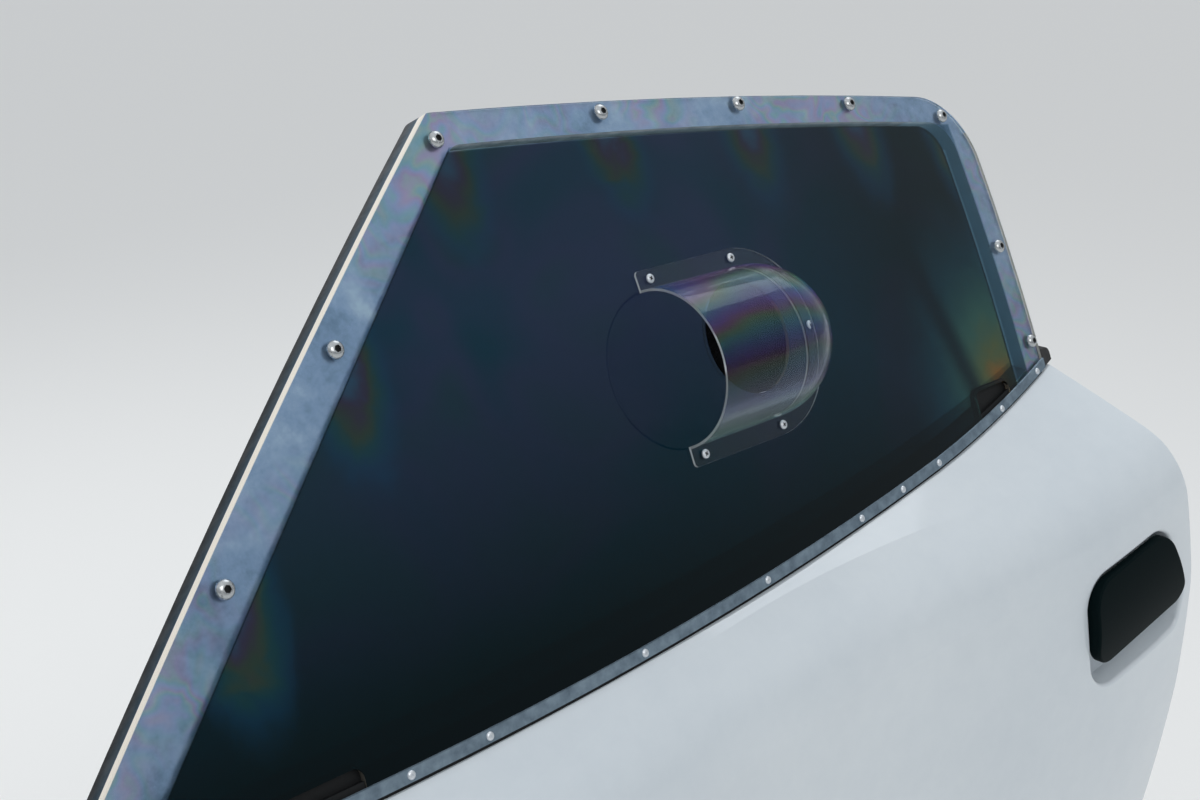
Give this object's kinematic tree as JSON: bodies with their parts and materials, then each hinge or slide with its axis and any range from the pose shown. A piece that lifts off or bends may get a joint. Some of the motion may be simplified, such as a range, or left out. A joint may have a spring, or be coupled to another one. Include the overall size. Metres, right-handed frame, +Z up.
{
  "type": "race car door",
  "caption": "Left door of a race car with a fixed screwed-on clear window, vent scoop, outer handle, hinges and latch.",
  "frame": {"origin": "centre of the four hinge bolts, on the face of the hinge leaves that lies on the body's front post", "axes": "+X to the front of the car, +Y outward to the car's left, +Z up"},
  "size_m": [1.277, 0.4207, 0.8965],
  "materials": {
    "body_paint": "smooth white paint, soft gloss",
    "inner_paint": "white paint on pressed sheet, satin",
    "handle_plastic": "black moulded plastic, fine satin grain",
    "frame_metal": "hand finished aluminium channel, mottled and scuffed",
    "clear_pane": "glossy polycarbonate with faint stress colours, tinted dark inside the frame",
    "clear_scoop": "clear drawn polycarbonate",
    "strip_metal": "blue grey satin strip",
    "seal_rubber": "black rubber, matt",
    "card_carbon": "woven carbon sheet under clear resin",
    "strap_webbing": "red woven webbing",
    "trim_plastic": "black moulded plastic",
    "lever_metal": "bead blasted aluminium",
    "hinge_steel": "plated steel, brushed",
    "pin_steel": "ground steel pin",
    "mirror_carbon": "woven carbon shell under clear resin",
    "mirror_face": "silvered glass"
  },
  "bodies": {
    "root": {"hinge_post_leaf_upper": "hinge_steel", "hinge_post_leaf_lower": "hinge_steel", "hinge_pin_upper": "pin_steel", "hinge_pin_lower": "pin_steel"},
    "door": {"outer_skin": "body_paint", "inner_shell": "inner_paint", "handle_cup": "body_paint", "handle_flap": "handle_plastic", "window_frame": "frame_metal", "window_pane": "clear_pane", "air_scoop": "clear_scoop", "belt_strip": "strip_metal", "corner_block": "seal_rubber", "door_seal": "seal_rubber", "door_card": "card_carbon", "pull_strap": "strap_webbing", "strap_anchor_front": "hinge_steel", "strap_anchor_rear": "hinge_steel", "release_bezel": "trim_plastic", "release_lever": "lever_metal", "latch_case": "hinge_steel", "latch_fork": "hinge_steel", "hinge_door_leaf_upper": "hinge_steel", "hinge_door_leaf_lower": "hinge_steel", "mirror_foot": "trim_plastic", "mirror_arm": "trim_plastic", "mirror_shell": "mirror_carbon", "mirror_glass": "mirror_face"}
  },
  "joints": [
    {"name": "door_swing", "type": "hinge", "parent": "root", "child": "door", "pos_m": [-0.055, 0.05, 0], "axis": [0, 0, -1], "range_deg": [0, 65]}
  ]
}
